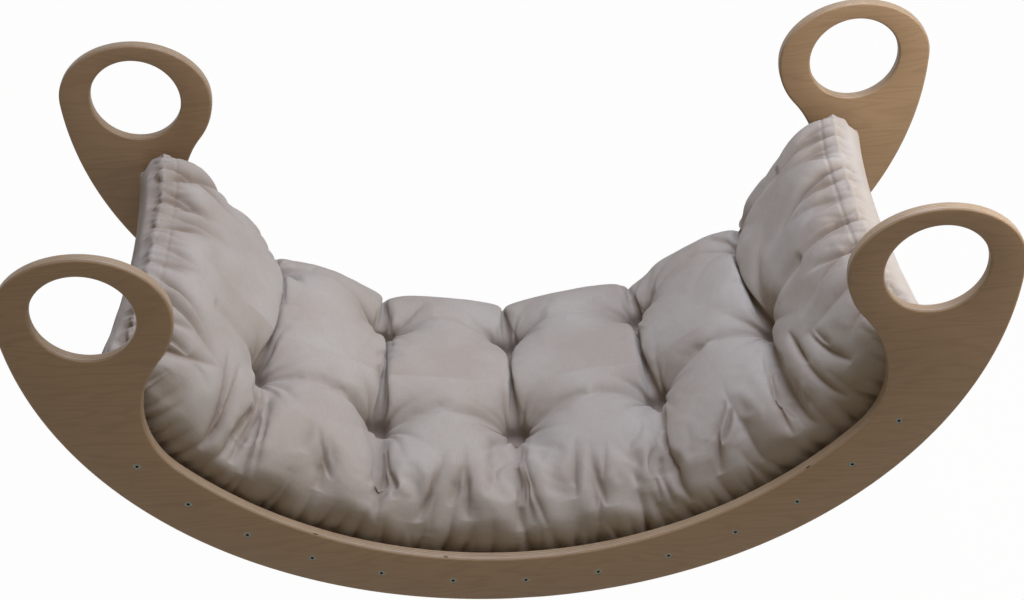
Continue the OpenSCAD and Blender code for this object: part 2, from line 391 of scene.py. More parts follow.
def birch_plywood(settings):
    """Sanded and clear-lacquered birch plywood: rotary-cut face veneers with a faint figure and a
    low sheen, and thin light and dark plies wherever an edge or its rounding cuts through them."""
    material, shader, add = new_material("birch_plywood")
    place = add("Attribute", attribute_name="sheet").outputs["Vector"]
    depth = add("SeparateXYZ", {"Vector": place}).outputs["Z"]
    # Figure: long wavering growth bands, about 18 mm apart, drawn out seven times along the grain
    stretched = add("Mapping", {"Vector": place, "Scale": (1.0, 7.0, 0.0)})
    bend = add("TexNoise", {"Vector": stretched, "Scale": 2.6, "Detail": 2.0, "Roughness": 0.45})
    bands = add("Math", {0: bend, 1: 95.0}, operation="MULTIPLY")
    bands = add("Math", {0: bands}, operation="SINE")
    bands = add("Math", {0: bands, 1: 0.5, 2: 0.5}, operation="MULTIPLY_ADD")
    bands = add("ValToRGB", {"Fac": bands}, [(0.55, 0.0), (1.0, 1.0)])
    soft = add("TexNoise", {"Vector": stretched, "Scale": 6.0, "Detail": 3.0})
    figure = add("Math", {0: bands, 1: soft}, operation="MULTIPLY", use_clamp=True)
    figure = add("Math", {0: figure, 1: 0.55}, operation="MULTIPLY")
    # Fibres: fine streaks about 1.2 mm apart, coarser than birch's own so that they show
    fine = add("Mapping", {"Vector": place, "Scale": (22.0, 420.0, 40.0)})
    fibres = add("TexNoise", {"Vector": fine, "Scale": 1.0, "Detail": 3.0, "Roughness": 0.6})
    streaks = add("ValToRGB", {"Fac": fibres}, [(0.35, 0.22), (0.7, 0.0)])
    cloud = add("TexNoise", {"Vector": stretched, "Scale": 1.3, "Detail": 2.0})
    cloud = add("ValToRGB", {"Fac": cloud}, [(0.35, 0.0), (0.7, 0.16)])
    # Plies: eleven in 15 mm
    ply = add("Math", {0: depth, 1: 2 * SIDE_T / 11}, operation="DIVIDE")
    ply = add("Math", {0: ply}, operation="FRACT")
    edge = add("ValToRGB", {"Fac": ply}, [
        (0.0, settings.light_ply), (0.44, settings.light_ply), (0.50, settings.figure_colour),
        (0.54, settings.dark_ply), (0.95, settings.dark_ply), (1.0, settings.figure_colour)])
    grime = add("TexNoise", {"Vector": place, "Scale": 60.0, "Detail": 2.0})
    grime = add("ValToRGB", {"Fac": grime}, [(0.3, 0.25), (0.7, 0.0)])
    middle = add("Math", {0: depth, 1: SIDE_T / 2}, operation="SUBTRACT")
    middle = add("Math", {0: middle}, operation="ABSOLUTE")
    on_edge = add("Math", {0: middle, 1: SIDE_T / 2 - 1.1 * MM}, operation="LESS_THAN")
    dark = linear(settings.figure_colour)
    face = add("Mix", {"Factor": figure, 6: linear(settings.face_colour), 7: dark}, data_type="RGBA")
    face = add("Mix", {"Factor": streaks, 6: face.outputs[2], 7: dark}, data_type="RGBA")
    face = add("Mix", {
        "Factor": cloud, 6: face.outputs[2], 7: linear(settings.light_ply)}, data_type="RGBA")
    edge = add("Mix", {"Factor": grime, 6: edge, 7: dark}, data_type="RGBA")
    wood = add("Mix", {"Factor": on_edge, 6: face.outputs[2], 7: edge.outputs[2]}, data_type="RGBA")
    rough = add("ValToRGB", {"Fac": fibres}, [(0.3, 0.60), (0.75, 0.46)])
    steps = add("Math", {0: ply, 1: on_edge}, operation="MULTIPLY")
    height = add("Math", {0: fibres, 1: steps}, operation="ADD")
    bump = add("Bump", {"Height": height, "Strength": 0.25, "Distance": 0.12 * MM})
    set_sockets(shader, {"Base Color": wood.outputs[2], "Roughness": rough, "Normal": bump})
    shader.inputs["IOR"].default_value = 1.5
    shader.inputs["Coat Weight"].default_value = 0.12
    shader.inputs["Coat Roughness"].default_value = 0.35
    return material


def zinc_plate(settings):
    """Zinc-plated steel screws with a dull grey passivation, so broad soft highlights."""
    material, shader, add = new_material("zinc_plated_steel")
    place = add("TexCoord").outputs["Object"]
    stain = add("TexNoise", {"Vector": place, "Scale": 900.0, "Detail": 2.0})
    zinc = add("ValToRGB", {"Fac": stain}, [(0.3, settings.stain_colour), (0.7, settings.zinc_colour)])
    rough = add("ValToRGB", {"Fac": stain}, [(0.3, 0.5), (0.7, 0.34)])
    set_sockets(shader, {"Base Color": zinc, "Roughness": rough})
    shader.inputs["Metallic"].default_value = 1.0
    return material


def turned_beech(settings):
    """Fluted beech dowels: a dry, close-grained wood with short darker flecks."""
    material, shader, add = new_material("beech_dowel")
    place = add("TexCoord").outputs["Object"]
    along = add("Mapping", {"Vector": place, "Scale": (900.0, 120.0, 900.0)})
    flecks = add("TexNoise", {"Vector": along, "Scale": 1.0})
    beech = add("ValToRGB", {"Fac": flecks}, [(0.35, settings.fleck_colour), (0.6, settings.beech_colour)])
    set_sockets(shader, {"Base Color": beech})
    shader.inputs["Roughness"].default_value = 0.7
    return material


# ---------------------------------------------------------------- plywood sides


def arc_points(centre, radii, start, end, step=2.5 * MM):
    """Points of an oval arc after its first, about step apart, angles in radians."""
    count = max(4, int(abs(end - start) * max(radii) / step))
    angles = [start + (end - start) * k / count for k in range(1, count + 1)]
    return [Vector((centre[0] + radii[0] * math.cos(a), centre[1] + radii[1] * math.sin(a)))
            for a in angles]


def grip_place(settings):
    """X and Z of the right grip hole. The CAD oval stands on a flat."""
    return HALF_LENGTH - settings.ring_width / 2, settings.grip_height * math.cos(FLAT_HALF_ANGLE)


def hollow_edge(settings):
    """The right half of the seat hollow, from its widest place down to the middle."""
    _, grip_z = grip_place(settings)
    hollow_x = settings.hollow_width / 2
    hollow_z = grip_z - settings.hollow_drop
    end_r = settings.hollow_end
    sag = settings.grip_height - settings.rocker_depth - settings.hollow_drop
    wide_r = (hollow_x ** 2 + sag ** 2 - 2 * hollow_x * end_r) / (2 * (sag - end_r))
    wide_z = hollow_z - sag + wide_r
    meet = math.atan2(hollow_z - wide_z, hollow_x - end_r)
    return (arc_points((hollow_x - end_r, hollow_z), (end_r, end_r), 0, meet)
            + arc_points((0, wide_z), (wide_r, wide_r), meet, -math.pi / 2))


def side_outline(settings):
    """The side's outline in X and Z, anticlockwise: rocker edge, right ring and hollow, their mirror."""
    ring_x, grip_z = grip_place(settings)
    ring_r = settings.ring_width / 2
    hollow_x = settings.hollow_width / 2
    hollow_z = grip_z - settings.hollow_drop
    reach = ring_x - hollow_x
    neck_r = (reach ** 2 + settings.hollow_drop ** 2 - ring_r ** 2) / (2 * (ring_r - reach))
    neck_x = hollow_x - neck_r
    neck = math.atan2(settings.hollow_drop, ring_x - neck_x)
    turn = math.pi
    right = arc_points((ring_x, grip_z), (ring_r, settings.ring_rise), 0, turn)
    right += arc_points((ring_x, grip_z), (ring_r, ring_r), turn, turn + neck)
    right += arc_points((neck_x, hollow_z), (neck_r, neck_r), neck, 0)
    right += hollow_edge(settings)
    left = [Vector((-p.x, p.y)) for p in right[-2::-1]]
    # The rocker's oval reaches 0.3 mm under the floor, where the CAD rests on a short flat.
    rocker = arc_points((0, grip_z), (HALF_LENGTH, settings.grip_height), turn, 2 * turn)
    rocker = [Vector((p.x, max(p.y, 0.0))) for p in rocker]
    return rocker + right + left + [Vector((-HALF_LENGTH, grip_z))]


def circle_points(x, z, radius, count):
    """A hole's points, clockwise."""
    turns = [-2 * math.pi * k / count for k in range(count)]
    return [Vector((x + radius * math.cos(a), z + radius * math.sin(a))) for a in turns]


def sweep_wall(bm, points, profile):
    """Extrudes a closed loop of points through (inset, depth) steps, and gives its first and last edges.
    Insets go into the wood, on the left of the loop."""
    count = len(points)
    normals = []
    for k in range(count):
        along = (points[(k + 1) % count] - points[k - 1]).normalized()
        normals.append(Vector((along.y, -along.x)))

    def at(k, inset, depth):
        p = points[k] - normals[k] * inset
        return Vector((p.x, depth, p.y))

    ring = [bm.verts.new(at(k, *profile[0])) for k in range(count)]
    edges = [bm.edges.new((ring[k], ring[(k + 1) % count])) for k in range(count)]
    first = edges
    for inset, depth in profile[1:]:
        made = bmesh.ops.extrude_edge_only(bm, edges=edges)["geom"]
        verts = {g for g in made if isinstance(g, bmesh.types.BMVert)}
        edges = [g for g in made if isinstance(g, bmesh.types.BMEdge) and verts.issuperset(g.verts)]
        order = {vert: k for k, vert in enumerate(ring)}
        ring = [None] * count
        for vert in verts:
            base = next(other for edge in vert.link_edges if (other := edge.other_vert(vert)) in order)
            ring[order[base]] = vert
            vert.co = at(order[base], inset, depth)
    return first, edges


def rounded_profile(radius, steps=4):
    """(inset, depth) steps of a wall with both edges rounded, from one face of the sheet to the other."""
    near = []
    for k in range(steps + 1):
        a = math.pi / 2 * k / steps
        near.append((radius * (1 - math.sin(a)), radius * (1 - math.cos(a))))
    return near + [(inset, SIDE_T - depth) for inset, depth in reversed(near)]


def slat_line():
    """Each slat's middle in X and Z, and the direction across it, from its CAD node's corners."""
    line = []
    for name in SLAT_NODES:
        co = np.array([v.co for v in frame["nodes"][name].data.vertices])[:, [0, 2]]
        low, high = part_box(name)
        middle = np.array(((low.x + high.x) / 2, (low.z + high.z) / 2))
        _, _, axes = np.linalg.svd(co - co.mean(0), full_matrices=False)
        across = axes[0] * (1 if axes[0][0] > 0 else -1)
        line.append((name, middle, across))
    return line


def side_mesh(settings):
    """One side, with its outer face at Y 0 and its inner face at the sheet's thickness."""
    bm = bmesh.new()
    profile = rounded_profile(settings.edge_round)
    ring_x, grip_z = grip_place(settings)
    walls = [sweep_wall(bm, side_outline(settings), profile)]
    for x in (-ring_x, ring_x):
        walls.append(sweep_wall(bm, circle_points(x, grip_z, settings.grip_hole / 2, 120), profile))
    near = [edge for first, _ in walls for edge in first]
    far = [edge for _, last in walls for edge in last]
    for _, middle, across in slat_line():
        head = circle_points(*middle, SCREW_HEAD_R, 24)
        taper = SCREW_SHANK_R - SCREW_HEAD_R
        first, last = sweep_wall(bm, head, [
            (0, 0), (0, HEAD_SINK), (taper, HEAD_SINK - taper), (taper, SIDE_T)])
        near += first
        far += last
        for side in (-1, 1):
            hole = circle_points(*(middle + across * side * DOWEL_OFFSET), DOWEL_R, 20)
            first, last = sweep_wall(bm, hole, [(0, SIDE_T), (0, SIDE_T - DOWEL_DEPTH)])
            far += first
            bmesh.ops.triangle_fill(bm, use_beauty=True, edges=last)
    bmesh.ops.triangle_fill(bm, use_beauty=True, edges=near)
    bmesh.ops.triangle_fill(bm, use_beauty=True, edges=far)
    bmesh.ops.recalc_face_normals(bm, faces=bm.faces)
    return bm


# ---------------------------------------------------------------- sewn pad


# The slats' oval is flatter than a circle, so its arc is shorter than its angle times its half length.
ARC_SHARE = 0.86
# Where along a half the ends begin to swell less, and over what share of it
END_SWELL_START = 0.6
END_SWELL_WIDTH = 0.14
# From this share on, a cell's vertex lies on the cover's outside.
ON_FACE = 0.999
# From this share of the half width on, the cover belongs to its side faces.
SIDE_FACE = 0.86
# Folds that run in from an edge: seed, then distance apart, depth, width and reach in millimetres
HEM_GATHERS = ((0, 34, 9, 8, 100), (1, 18, 3.5, 4.5, 60))
END_FOLDS = ((25, 29, 21, 8.5, 270), (27, 15, 8, 3.5, 120))
# Slow unevenness of the filling: size and height in millimetres
LUMPS = ((90, 2.0), (45, 0.8))


def cover_size(pad):
    """The cut cover's half length, half width and thickness."""
    half_length = pad.half_angle * pad.slat_line_half_length * ARC_SHARE
    return np.array((half_length, pad.half_width, pad.crown))


def oval_place(pad, turn, rise):
    """X and Z of a place that lies rise over the slats, turned round their line from its middle."""
    a, b = pad.slat_line_half_length, pad.slat_line_half_depth
    out_x, out_z = b * np.sin(turn), -a * np.cos(turn)
    scale = rise / np.hypot(out_x, out_z)
    return a * np.sin(turn) - out_x * scale, pad.slat_line_height - b * np.cos(turn) - out_z * scale


def to_oval(pad, place):
    """Turn and rise of places, the reverse of oval_place, by Newton's steps."""
    a, b = pad.slat_line_half_length, pad.slat_line_half_depth
    x, z = place[:, 0], place[:, 2] - pad.slat_line_height
    turn = np.arctan2(x / a, -z / b)
    for _ in range(8):
        sin, cos = np.sin(turn), np.cos(turn)
        gap_x, gap_z = x - a * sin, z + b * cos
        slope = gap_x * a * cos + gap_z * b * sin
        bend = -(a * cos) ** 2 - (b * sin) ** 2 - gap_x * a * sin + gap_z * b * cos
        turn = turn - slope / bend
    rise = -(gap_x * b * sin - gap_z * a * cos) / np.hypot(b * sin, a * cos)
    return turn, rise


def tuft_sheet(pad):
    """A BVH tree of the sheet that lies at the funnels' ends all over the slats."""
    turns = np.linspace(-1.6, 1.6, 641)
    x, z = oval_place(pad, turns, pad.tuft_floor)
    places = [(px, y, pz) for px, pz in zip(x, z) for y in (-0.3, 0.3)]
    return BVHTree.FromPolygons(places, [(k, k + 1, k + 3, k + 2) for k in range(0, len(places) - 2, 2)])


def tuft_places(pad):
    """Turn and Y of each tuft, front row and back row, where its image point's ray meets that sheet."""
    sheet = tuft_sheet(pad)
    rows = []
    for row in ("front", "rear"):
        hits = np.array([place_on(sheet, point)[0] for point in points_named(f"tuft_{row}_")])
        turn, _ = to_oval(pad, hits)
        rows.append(np.stack([turn, hits[:, 1]], -1))
    return rows


def tuft_bottom(pad, cover, point):
    """Where a tuft's funnel ends, straight under the place of its image point, and the way out of it."""
    hit, _ = place_on(tuft_sheet(pad), point)
    turn, _ = to_oval(pad, np.array(hit)[None])
    x, z = oval_place(pad, turn[0], 2 * pad.crown)
    start = Vector((x, hit.y, z))
    out = (start - hit).normalized()
    return cover.ray_cast(start, -out)[0], out


def pad_cells(pad):
    """The pad's cover as an even closed box of small cells, with each vertex's place in it from -1 to 1."""
    bm = bmesh.new()
    bmesh.ops.create_cube(bm, size=2)
    for axis, length in enumerate(cover_size(pad) * (2, 2, 1)):
        edges = [e for e in bm.edges if abs((e.verts[0].co - e.verts[1].co)[axis]) > 1.9]
        bmesh.ops.subdivide_edges(bm, edges=edges, cuts=round(length / pad.cell) - 1, use_grid_fill=True)
    mesh = bpy.data.meshes.new("seat_pad_cover")
    bm.to_mesh(mesh)
    bm.free()
    return mesh


def bell(distance, width):
    """1 on a line, falling to 0 over a few widths."""
    return np.exp(-(distance / width) ** 2 / 2)


def ease(x, start=0.0, width=1.0):
    """0 up to a start and 1 from a width further on, with a smooth way between."""
    x = np.clip((x - start) / width, 0, 1)
    return x * x * (3 - 2 * x)


def column_turns(tufts, y):
    """The turn of each tuft column's crease at Y: it runs straight through its two tufts."""
    front, rear = tufts
    slope = (rear[:, 0] - front[:, 0]) / (rear[:, 1] - front[:, 1])
    y = np.clip(y, front[:, 1].min() - 0.06, rear[:, 1].max() + 0.04)
    return front[:, 0][:, None] + slope[:, None] * (y[None] - front[:, 1][:, None])


def crease_share(tufts, y):
    """How much of a column crease is left at Y: in front of the front tufts the cells run together."""
    return 1 - 0.85 * ease(tufts[0][:, 1].mean() - y, 6 * MM, 26 * MM)


def crease_distances(pad, tufts, turn, y):
    """Signed way along the pad to the nearest column crease, way to the nearest tuft and its bearing,
    way across to the folds that join a row's tufts, in metres on the pad's top, and that tuft's index."""
    radius = pad.slat_line_half_length - pad.tuft_height
    along = (turn[None] - column_turns(tufts, y)) * radius
    column = along[np.abs(along).argmin(0), np.arange(len(turn))]
    both = np.concatenate(tufts)
    du = (turn[None] - both[:, 0][:, None]) * radius
    dy = y[None] - both[:, 1][:, None]
    way = np.hypot(du, dy)
    nearest = way.argmin(0)
    pick = np.arange(len(turn))
    bearing = np.arctan2(dy[nearest, pick], du[nearest, pick])
    rows = []
    for row in tufts:
        line = np.interp(turn, row[:, 0], row[:, 1])
        step = np.interp(turn, row[:, 0], np.arange(len(row)))
        part = step % 1.0
        line = line + pad.row_arc * 4 * part * (1 - part)
        rows.append(y - line)
    rows = np.array(rows)
    row = rows[np.abs(rows).argmin(0), pick]
    return column, way[nearest, pick], bearing, row, nearest


def pad_start(pad, tufts, box):
    """The cut cover before it is blown up: each cell vertex's turn, Y and rise."""
    upward = (box[:, 2] + 1) / 2
    size = cover_size(pad)
    place = np.stack([box[:, 0], box[:, 1], upward], -1) * size
    upper = upward > 0.5
    top_radius = np.where(box[:, 1] < 0, pad.front_round, pad.top_round)
    radius = np.where(upper, top_radius, pad.bottom_round)
    low = np.stack([-size[0] + radius * 0.3, -size[1] + radius, np.where(upper, -1, radius)], -1)
    high = np.stack([size[0] - radius * 0.3, size[1] - radius, np.where(upper, size[2] - radius, 1)], -1)
    inner = np.clip(place, low, high)
    out = place - inner
    far = np.linalg.norm(out, axis=1, keepdims=True)
    rounded = inner + out / np.maximum(far, 1e-9) * np.abs(out).max(1, keepdims=True)
    place = np.where(far > 1e-9, rounded, place)
    turn = place[:, 0] / size[0] * pad.half_angle
    y = place[:, 1]
    share = place[:, 2] / pad.crown
    outward = turn / pad.half_angle
    end = np.clip((np.abs(outward) - pad.end_start) / (1 - pad.end_start), 0, 1)
    across = np.abs(y) / pad.half_width
    lift = (pad.corner_lift + (pad.end_lift - pad.corner_lift) * (1 - across ** 2)) * ease(end)
    top = pad.end_thickness + (pad.crown - pad.end_thickness) * np.cos(math.radians(60) * outward * outward)
    top = top - pad.slack * (1 - pad.end_less * ease(np.abs(outward), END_SWELL_START, END_SWELL_WIDTH))
    end_top = pad.corner_thickness + (pad.end_rise - pad.corner_thickness) * (1 - across ** 2.5)
    top = end_top + (top - end_top) * np.sqrt(1 - end * end)
    column, way, _, row, _ = crease_distances(pad, tufts, turn, y)
    left = crease_share(tufts, y)
    dip = pad.crease_depth * left * bell(column, pad.crease_width)
    dip += pad.row_depth * bell(row, 1.4 * pad.crease_width) * (np.abs(outward) < 0.82)
    dip += (pad.crown - pad.slack - pad.tuft_height - pad.crease_depth) * bell(way, pad.tuft_width)
    rise = lift + share * (top - lift - dip * share)
    # The ends lean back: their lower edge stops short of their ridge.
    turn = turn * (1 - pad.end_lean * ease(end) * (1 - share))
    inward = pad.crease_depth * 0.7 * left * bell(column, pad.crease_width) * share
    inward = inward * ease(across, 0.8, 0.2)
    y = y - np.sign(y) * inward
    return turn, y, rise


def calm(mesh, place, weight, rounds=12):
    """Evens out the cloth where weight is over 0, each vertex towards the middle of its neighbours."""
    ends = np.empty(len(mesh.edges) * 2, np.int32)
    mesh.edges.foreach_get("vertices", ends)
    ends = ends.reshape(-1, 2)
    count = np.bincount(ends.ravel(), minlength=len(place))[:, None]
    for _ in range(rounds):
        total = np.zeros_like(place)
        np.add.at(total, ends[:, 0], place[ends[:, 1]])
        np.add.at(total, ends[:, 1], place[ends[:, 0]])
        place = place + (total / count - place) * weight[:, None] * 0.6
    return place


def pad_groups(pad, piece, start, box, tufts):
    """The cover's vertex groups: what is held and how firmly, and the seams that draw together."""
    turn, y, rise = start
    bottom = box[:, 2] < -ON_FACE
    top = box[:, 2] > ON_FACE
    column, way, _, _, _ = crease_distances(pad, tufts, turn, y)
    held = piece.vertex_groups.new(name="held")
    seams = piece.vertex_groups.new(name="seams")
    tied = bottom | (top & (way < pad.tie_reach))
    creased = top & (np.abs(column) < 5 * MM) & (crease_share(tufts, y) > 0.6) & ~tied
    on_wall = (np.abs(box[:, 1]) > ON_FACE) | (np.abs(box[:, 0]) > ON_FACE)
    hem = (np.abs(rise - pad.hem_rise) < pad.cell) & on_wall
    ridge = top & (np.abs(box[:, 0]) > 0.995)
    funnel = np.round(pad.funnel_hold * bell(way, pad.funnel_width) * top, 2)
    funnel = np.maximum(funnel, np.round(pad.crease_hold * creased, 2))
    for weight in np.unique(funnel[funnel > 0.01]):
        held.add(np.flatnonzero((funnel == weight) & ~tied).tolist(), float(weight), "REPLACE")
    for group, chosen in ((held, tied), (seams, hem | ridge)):
        group.add(np.flatnonzero(chosen).tolist(), 1.0, "REPLACE")


def temper(pad, mesh, place, blown, box):
    """The blown-up cover with its farthest moves and its ends held back, and its walls evened out."""
    moved = blown - place
    reach = np.linalg.norm(moved, axis=1, keepdims=True)
    swell = pad.most_swell * (1 - np.exp(-reach / pad.most_swell)) / np.maximum(reach, 1e-9)
    swell *= 1 - pad.end_less * ease(np.abs(box[:, :1]), END_SWELL_START, END_SWELL_WIDTH)
    near_end = ease(np.abs(box[:, 0]), 0.9, 0.08)
    near_side = 0.85 * ease(np.abs(box[:, 1]), 0.84, 0.14)
    free = box[:, 2] >= -ON_FACE
    return calm(mesh, place + moved * swell, np.where(free, np.maximum(near_end, near_side), 0))


def pad_simulate(pad, mesh, start, box, tufts, frames):
    """Blows the cover up with Cloth: the underside and the tufts are held, and the cloth is cut too
    large."""
    turn, y, rise = start
    x, z = oval_place(pad, turn, rise)
    place = np.stack([x, y, z], -1)
    # A slight unevenness lets the flat cloth choose where it wrinkles.
    shake = np.random.default_rng(4).normal(0, 0.6 * MM, place.shape)
    shake[box[:, 2] < -ON_FACE] = 0
    mesh.vertices.foreach_set("co", (place + shake).ravel())
    mesh.update()
    piece = bpy.data.objects.new("seat_pad_cover", mesh)
    bpy.context.scene.collection.objects.link(piece)
    pad_groups(pad, piece, start, box, tufts)
    cloth = piece.modifiers.new("Cloth", "CLOTH")
    settings = cloth.settings
    settings.quality = 5
    settings.mass = 0.3
    settings.air_damping = 2
    settings.tension_stiffness = 15
    settings.compression_stiffness = 15
    settings.shear_stiffness = 5
    settings.bending_stiffness = pad.bending
    settings.bending_damping = 0.5
    settings.use_pressure = True
    settings.uniform_pressure_force = pad.pressure
    settings.vertex_group_mass = "held"
    settings.vertex_group_shrink = "seams"
    settings.shrink_min = -pad.spare_cloth
    settings.shrink_max = pad.gather
    settings.effector_weights.gravity = 0
    cloth.collision_settings.use_collision = False
    cloth.point_cache.frame_start = 1
    cloth.point_cache.frame_end = frames
    scene = bpy.context.scene
    for number in range(1, frames + 1):
        scene.frame_set(number)
    graph = bpy.context.evaluated_depsgraph_get()
    blown = read_vectors(piece.evaluated_get(graph).data.vertices, "co")
    scene.frame_set(1)
    piece.modifiers.remove(cloth)
    return piece, temper(pad, mesh, place, blown, box)


def refine_cover(pad, piece, values):
    """A finer copy of the blown-up cover, with each new vertex's values between its neighbours'."""
    mesh = piece.data
    for name, value in values.items():
        keep_vectors(mesh, name, value)
    modifier = piece.modifiers.new("Subdivision", "SUBSURF")
    modifier.levels = modifier.render_levels = pad.fineness
    fine = bpy.data.meshes.new_from_object(piece.evaluated_get(bpy.context.evaluated_depsgraph_get()))
    piece.modifiers.clear()
    piece.vertex_groups.clear()
    piece.data = fine
    bpy.data.meshes.remove(mesh)
    fine.name = "seat_pad_cover"
    return [read_vectors(fine.attributes[name].data, "vector") for name in values]


def wander(seed, x, step):
    """Smooth random values from -1 to 1 along x, with knots a step apart."""
    knots = np.random.default_rng(seed).uniform(-1, 1, 4096)
    at = x / step + 1024
    low = np.floor(at).astype(int)
    return knots[low] + (knots[low + 1] - knots[low]) * ease(at - low)


def pucker(seed, x, step):
    """Gathers along x: rounded crests about a step apart with sharp valleys between them, 0 to 1."""
    warped = x + 0.35 * step * wander(seed, x, 1.7 * step)
    crest = np.abs(np.sin(math.pi * warped / step))
    return crest * (0.65 + 0.35 * wander(seed + 1, x, 1.3 * step))


def pull_tufts(pad, tufts, place, start, box):
    """Closes the creases between the columns and opens a funnel round each tuft."""
    turn, y, _ = start.T
    share = (box[:, 2] + 1) / 2
    on_top = ease(share, 0.6, 0.3)
    radius = pad.slat_line_half_length - pad.tuft_height
    blown_turn, blown_rise = to_oval(pad, place)
    column, _, _, _, _ = crease_distances(pad, tufts, blown_turn, place[:, 1])
    closed = pad.crease_close * bell(column, pad.crease_reach) * crease_share(tufts, place[:, 1])
    inner = 1 - ease(np.abs(turn) / pad.half_angle, 0.82, 0.1)
    new_turn = blown_turn - column * closed * on_top * inner / radius
    _, way, _, _, _ = crease_distances(pad, tufts, turn, y)
    back = on_top * bell(way, 30 * MM)
    new_turn = new_turn + (turn - new_turn) * back
    new_y = place[:, 1] + (y - place[:, 1]) * back
    cone = pad.tuft_height + pad.funnel_slope * (np.hypot(way, 5 * MM) - 5 * MM)
    soft = 7 * MM
    capped = -soft * np.logaddexp(-blown_rise / soft, -cone / soft)
    rise = blown_rise + (capped - blown_rise) * on_top
    x, z = oval_place(pad, new_turn, rise)
    return np.stack([x, new_y, z], -1)


def valley(distance, width):
    """A narrow fold: 1 on its line, falling off on both sides."""
    return np.exp((1.5 * MM - np.hypot(distance, 1.5 * MM)) / width)


def loose_folds(seed, half, sizes, across, inward, chosen):
    """Depth of folds that run inward from an edge at uneven places across it, each with its own
    depth, width, lean, bend and reach."""
    step, depth, width, reach = (size * MM for size in sizes)
    rng = np.random.default_rng(seed)
    total = np.zeros(len(across))
    across, inward = across[chosen], inward[chosen]
    found = np.zeros(len(across))
    at = -half
    while at < half:
        deep = rng.uniform(0.45, 1)
        thin = rng.uniform(0.7, 1.3) * width
        lean = rng.uniform(-0.35, 0.35)
        far = rng.uniform(0.45, 1) * reach
        bend = rng.uniform(-1.5, 1.5)
        line = across - at - lean * inward - bend * inward ** 2
        fade = 1 - ease(inward, 0, far)
        found = np.maximum(found, depth * deep * valley(line, thin * (1 + 0.6 * inward / reach)) * fade)
        at += step * rng.uniform(0.55, 1.45)
    total[chosen] = found
    return total


def tuft_folds(tufts, way, bearing, nearest):
    """Depth of the folds that run out from each tuft, some long and some short."""
    rng = np.random.default_rng(7)
    count = sum(len(row) for row in tufts)
    star = np.zeros(len(way))
    for k in range(12):
        angle = (rng.uniform(-0.2, 0.2, count) + k * math.pi / 6)[nearest]
        deep = rng.uniform(0.25, 1, count)[nearest]
        far = rng.uniform(14 * MM, 40 * MM, count)[nearest]
        bend = rng.uniform(-3, 3, count)[nearest]
        off = np.angle(np.exp(1j * (bearing - angle - bend * way)))
        line = np.where(np.abs(off) < math.pi / 2, way * np.sin(off), 1)
        star = np.maximum(star, deep * valley(line, 2.4 * MM + 0.06 * way) * np.exp(-way / far))
    return star * ease(way, 0, 5 * MM)


def front_folds(pad, tufts, turn, y, rise):
    """Depth of the long folds that run over the front edge to the hem, from the front tufts and
    between them."""
    rng = np.random.default_rng(9)
    radius = pad.slat_line_half_length - pad.tuft_height
    down = tufts[0][:, 1].mean() - y + np.clip(pad.crown - pad.slack - rise, 0, 1)
    found = np.zeros(len(turn))
    half_step = 0.5 * np.diff(tufts[0][:, 0]).mean()
    for place in np.arange(-1, 2 * len(tufts[0])):
        middle = tufts[0][0, 0] + place * half_step
        at_tuft = place % 2 == 0
        along = (turn - middle) * radius
        for start, end in zip(rng.uniform(-26, 26, 4), rng.uniform(-40, 40, 4)):
            first = rng.uniform(6, 50) * MM if at_tuft else rng.uniform(50, 100) * MM
            last = rng.uniform(130, 230) * MM
            part = np.clip((down - first) / (last - first), 0, 1)
            line = along - ((0.5 if at_tuft else 1) * start + (end - start) * part) * MM
            deep = rng.uniform(4, 12) * MM * np.sin(math.pi * part ** 1.3) ** 0.8
            found = np.maximum(found, deep * valley(line, rng.uniform(4, 7.5) * MM))
    return found * (y < tufts[0][:, 1].mean())


